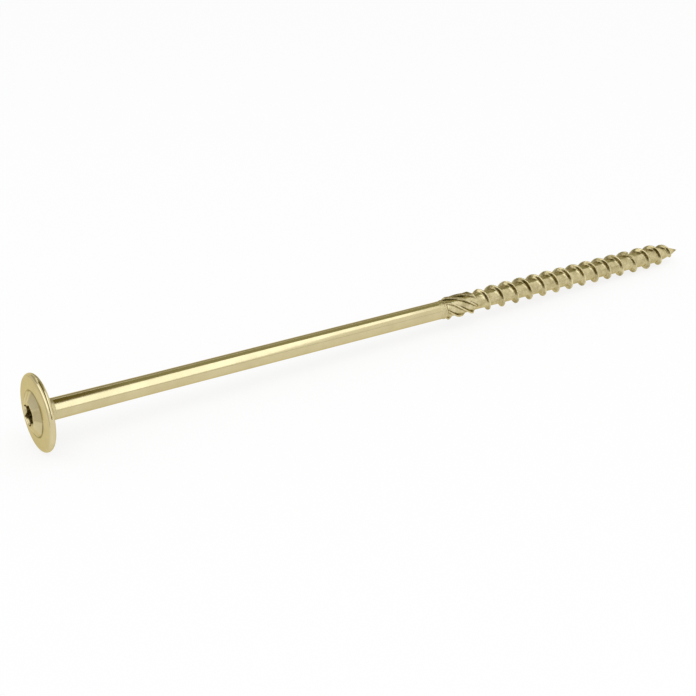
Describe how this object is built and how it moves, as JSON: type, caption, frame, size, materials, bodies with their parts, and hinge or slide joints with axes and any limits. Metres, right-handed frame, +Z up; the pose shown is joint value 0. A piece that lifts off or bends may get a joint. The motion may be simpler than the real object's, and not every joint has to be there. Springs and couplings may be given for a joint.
{
  "type": "washer head wood screw",
  "caption": "Partly threaded timber screw with a wide washer-shaped head, a six-lobe drive in a central boss, milling ribs above the coarse thread and a sharp tip.",
  "frame": {"origin": "middle of the head's bearing face, on the screw's axis", "axes": "+X towards the tip along the floor, +Z up, the screw lying on its rim and thread with its tip end lower"},
  "size_m": [0.2436, 0.022, 0.022],
  "materials": {
    "plated_steel": "pale yellow zinc plating, satin with worn bright crests"
  },
  "bodies": {
    "root": {"screw": "plated_steel"}
  },
  "joints": []
}
